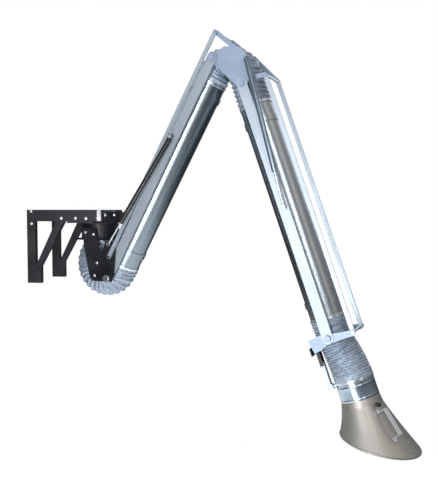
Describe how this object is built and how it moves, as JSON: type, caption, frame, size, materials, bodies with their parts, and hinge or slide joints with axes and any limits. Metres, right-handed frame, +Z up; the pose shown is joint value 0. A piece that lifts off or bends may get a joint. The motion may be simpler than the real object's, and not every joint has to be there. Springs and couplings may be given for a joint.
{
  "type": "fume extraction arm",
  "caption": "Wall-mounted fume extraction arm: black swivel bracket, two parallelogram arms around a round duct, flexible hoses and a conical hood with handle.",
  "frame": {"origin": "middle of the wall plate's back face, on the wall", "axes": "+X straight out from the wall, +Z up, +Y towards the arm's far side; the arm is shown swung about 14 degrees towards -Y"},
  "size_m": [1.9796, 0.7439, 1.9725],
  "materials": {
    "black_paint": "satin",
    "galvanised": "satin",
    "zinc_sheet": "satin",
    "bright_steel": "polished",
    "hose": "satin",
    "stainless": "satin",
    "spring_black": "gloss",
    "bearing_plastic": "matte",
    "knob": "matte"
  },
  "bodies": {
    "bracket": {"wall_plate": "black_paint", "beam_near": "black_paint", "beam_far": "black_paint", "leg_near": "black_paint", "leg_far": "black_paint", "hub_plate": "black_paint", "swivel_housing": "black_paint", "duct_spigot": "galvanised", "thrust_ring": "bearing_plastic"},
    "swivel": {"swivel_collar": "black_paint", "yoke_flange": "black_paint", "yoke_plate_near": "black_paint", "yoke_plate_far": "black_paint", "shoulder_bolt_near": "bright_steel", "shoulder_bolt_far": "bright_steel", "shoulder_hose": "hose"},
    "lower_arm": {"lower_tube": "galvanised", "lower_rail_near": "zinc_sheet", "lower_rail_far": "zinc_sheet", "lower_strap_inner": "zinc_sheet", "lower_strap_outer": "zinc_sheet", "elbow_hose_lower": "hose"},
    "lower_links": {"lower_link_near": "zinc_sheet", "lower_link_far": "zinc_sheet"},
    "elbow": {"elbow_plate_near": "zinc_sheet", "elbow_plate_far": "zinc_sheet", "elbow_bolt_lower_near": "bright_steel", "elbow_bolt_lower_far": "bright_steel", "elbow_bolt_upper_near": "bright_steel", "elbow_bolt_upper_far": "bright_steel", "elbow_tie_upper": "bright_steel", "elbow_tie_outer": "bright_steel"},
    "upper_arm": {"upper_tube": "galvanised", "upper_rail_near": "zinc_sheet", "upper_rail_far": "zinc_sheet", "upper_strap_inner": "zinc_sheet", "upper_strap_outer": "zinc_sheet", "elbow_hose_upper": "hose", "wrist_hose_upper": "hose"},
    "upper_links": {"upper_link_near": "zinc_sheet", "upper_link_far": "zinc_sheet"},
    "wrist": {"wrist_lever_near": "zinc_sheet", "wrist_lever_far": "zinc_sheet", "wrist_bolt_near": "bright_steel", "wrist_bolt_far": "bright_steel", "wrist_tie": "bright_steel", "wrist_cross_bar": "black_paint", "hood_strip": "zinc_sheet", "hood_wing_bolt": "bright_steel"},
    "hood": {"neck_collar": "galvanised", "hood_cone": "stainless", "hood_lip": "stainless", "hood_handle": "bright_steel", "wrist_hose_lower": "hose"},
    "damper": {"damper_disc": "stainless", "damper_knob": "knob"},
    "lower_spring_cylinder": {"lower_spring_cylinder": "spring_black"},
    "lower_spring_rod": {"lower_spring_rod": "bright_steel"},
    "upper_spring_cylinder": {"upper_spring_cylinder": "spring_black"},
    "upper_spring_rod": {"upper_spring_rod": "bright_steel"}
  },
  "joints": [
    {"name": "swivel", "type": "hinge", "parent": "bracket", "child": "swivel", "pos_m": [0.336, 0, -0.045], "axis": [0, 0, 1], "range_deg": [-30, 59]},
    {"name": "lower_arm_tilt", "type": "hinge", "parent": "swivel", "child": "lower_arm", "pos_m": [0.43973, -0.02625, -0.327], "axis": [-0.2453, -0.9694, 0], "range_deg": [-50, 4], "deforming": ["shoulder_hose"]},
    {"name": "lower_link_tilt", "type": "hinge", "parent": "swivel", "child": "lower_links", "pos_m": [0.46009, -0.0314, -0.213], "axis": [-0.2453, -0.9694, 0], "range_deg": [-50, 4]},
    {"name": "elbow_level", "type": "hinge", "parent": "lower_arm", "child": "elbow", "pos_m": [1.01517, -0.17186, 0.7617], "axis": [-0.2453, -0.9694, 0], "range_deg": [-4, 50], "deforming": ["elbow_hose_lower"]},
    {"name": "upper_arm_tilt", "type": "hinge", "parent": "elbow", "child": "upper_arm", "pos_m": [1.16253, -0.20914, 0.6257], "axis": [-0.2453, -0.9694, 0], "range_deg": [-15, 38], "deforming": ["elbow_hose_upper"]},
    {"name": "upper_link_tilt", "type": "hinge", "parent": "elbow", "child": "upper_links", "pos_m": [1.27208, -0.23686, 0.6597], "axis": [-0.2453, -0.9694, 0], "range_deg": [-15, 38]},
    {"name": "wrist_level", "type": "hinge", "parent": "upper_arm", "child": "wrist", "pos_m": [1.57228, -0.31283, -0.56129], "axis": [-0.2453, -0.9694, 0], "range_deg": [-38, 15], "deforming": ["wrist_hose_upper"]},
    {"name": "hood_tilt", "type": "hinge", "parent": "wrist", "child": "hood", "pos_m": [1.57459, -0.31341, -0.81839], "axis": [-0.2453, -0.9694, 0], "range_deg": [-25, 35], "deforming": ["wrist_hose_lower"]},
    {"name": "damper_turn", "type": "hinge", "parent": "hood", "child": "damper", "pos_m": [1.7135, -0.34856, -0.88095], "axis": [0.4723, -0.8489, 0.2372], "range_deg": [0, 90]},
    {"name": "lower_spring_swing", "type": "hinge", "parent": "lower_arm", "child": "lower_spring_cylinder", "pos_m": [0.78023, -0.25992, 0.38776], "axis": [-0.2453, -0.9694, 0], "range_deg": [-8.25, 0.66]},
    {"name": "lower_spring_stroke", "type": "slide", "parent": "lower_spring_cylinder", "child": "lower_spring_rod", "axis": [-0.5418, 0.1371, -0.8292], "range_m": [-0.01042, 0.11881]},
    {"name": "upper_spring_swing", "type": "hinge", "parent": "elbow", "child": "upper_spring_cylinder", "pos_m": [1.15556, -0.35489, 0.7457], "axis": [-0.2453, -0.9694, 0], "range_deg": [-13.35, 33.82]},
    {"name": "upper_spring_stroke", "type": "slide", "parent": "upper_spring_cylinder", "child": "upper_spring_rod", "axis": [0.2507, -0.0634, -0.966], "range_m": [-0.06069, 0.02456]}
  ],
  "couplings": [
    {"joint": "lower_link_tilt", "follows": "lower_arm_tilt", "ratio": 1},
    {"joint": "elbow_level", "follows": "lower_arm_tilt", "ratio": -1},
    {"joint": "lower_spring_swing", "follows": "lower_arm_tilt", "ratio": 0.165},
    {"joint": "lower_spring_stroke", "follows": "lower_arm_tilt", "m_per_rad": -0.135},
    {"joint": "upper_link_tilt", "follows": "upper_arm_tilt", "ratio": 1},
    {"joint": "wrist_level", "follows": "upper_arm_tilt", "ratio": -1},
    {"joint": "upper_spring_swing", "follows": "upper_arm_tilt", "ratio": 0.89},
    {"joint": "upper_spring_stroke", "follows": "upper_arm_tilt", "m_per_rad": -0.09}
  ]
}
